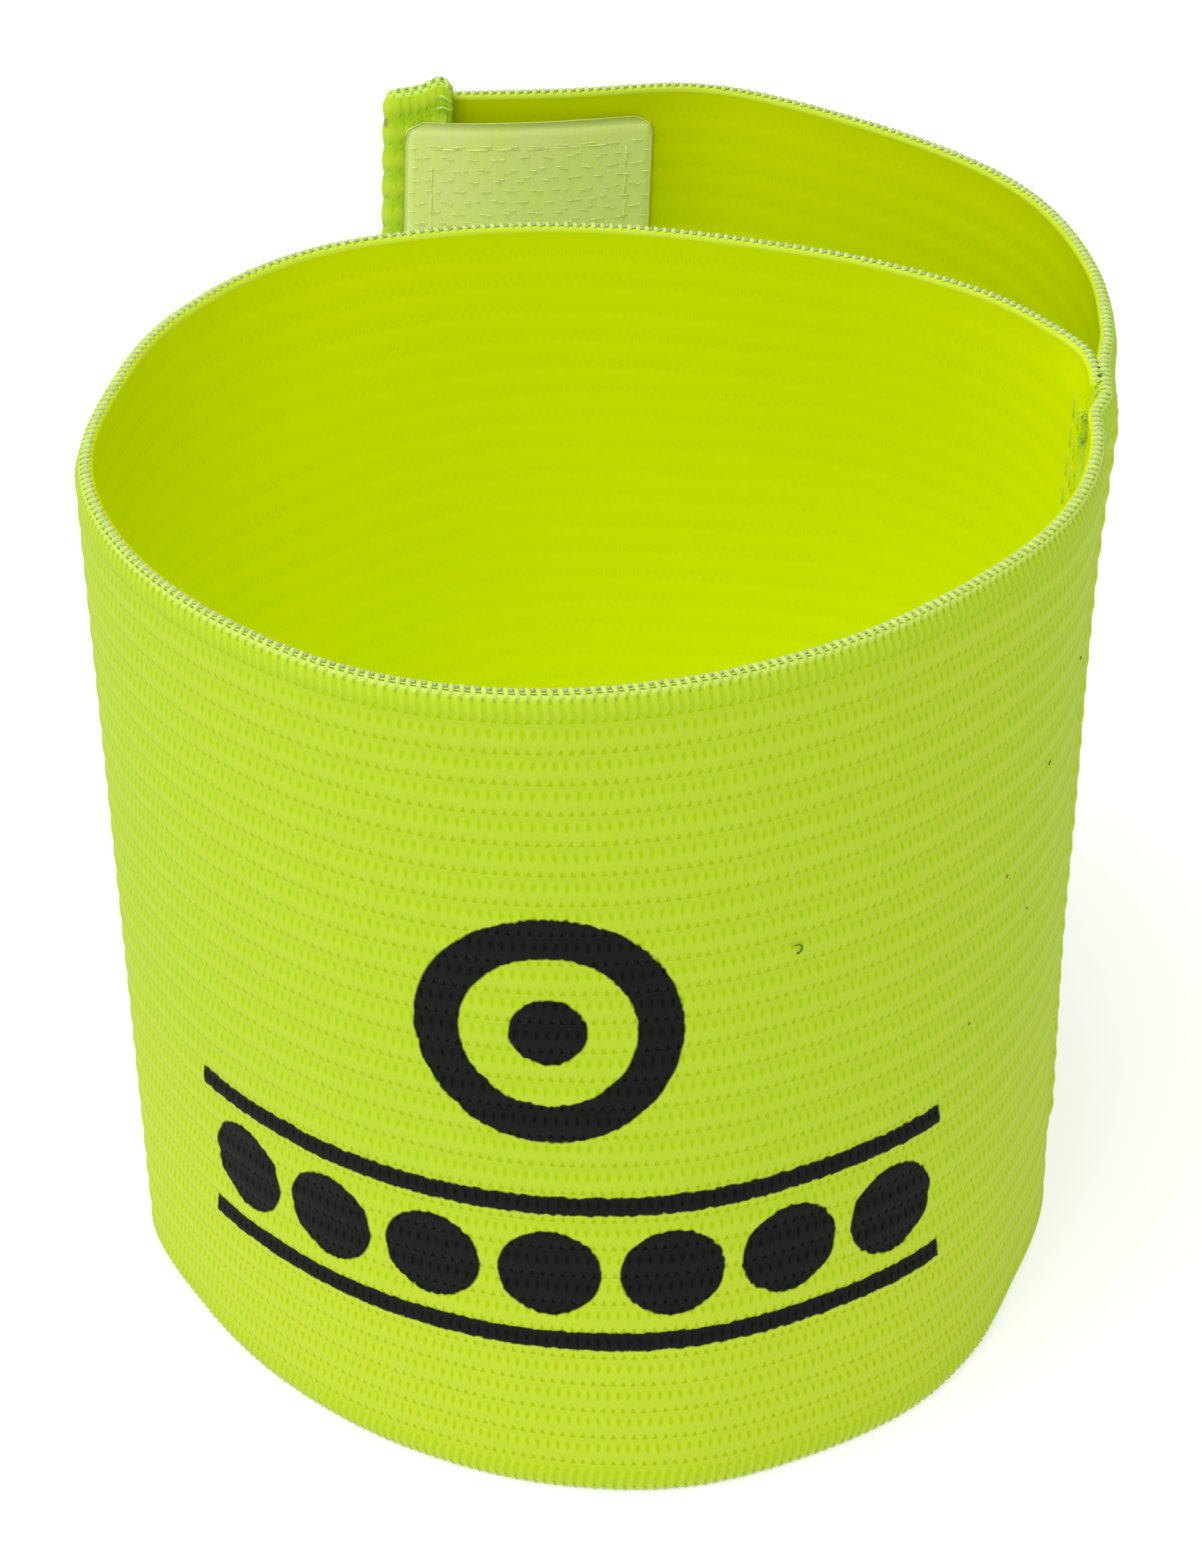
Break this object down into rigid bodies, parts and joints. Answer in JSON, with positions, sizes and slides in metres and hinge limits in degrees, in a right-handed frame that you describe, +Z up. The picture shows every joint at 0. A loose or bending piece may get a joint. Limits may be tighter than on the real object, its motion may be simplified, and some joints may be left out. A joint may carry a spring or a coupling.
{
  "type": "elastic armband",
  "caption": "Upright loop of wide ribbed elastic lapped at a seam, its outer end left as a free curved tail with a turned-in hem and a hook-tape patch on the inner face.",
  "frame": {"origin": "middle of the whole object's footprint, on the surface that the band stands on", "axes": "+Z up along the band's width, from its standing edge to its rim; -Y is the front of the loop, where the mark is printed; +Y is where the free tail stands; +X is the side of the seam"},
  "size_m": [0.085, 0.11, 0.0768],
  "materials": {
    "elastic": "ribbed woven elastic, matt fluorescent yellow-green",
    "hook_tape": "translucent moulded hook tape over the yellow-green elastic"
  },
  "bodies": {
    "root": {"band": "elastic", "hook_patch": "hook_tape"}
  },
  "joints": []
}
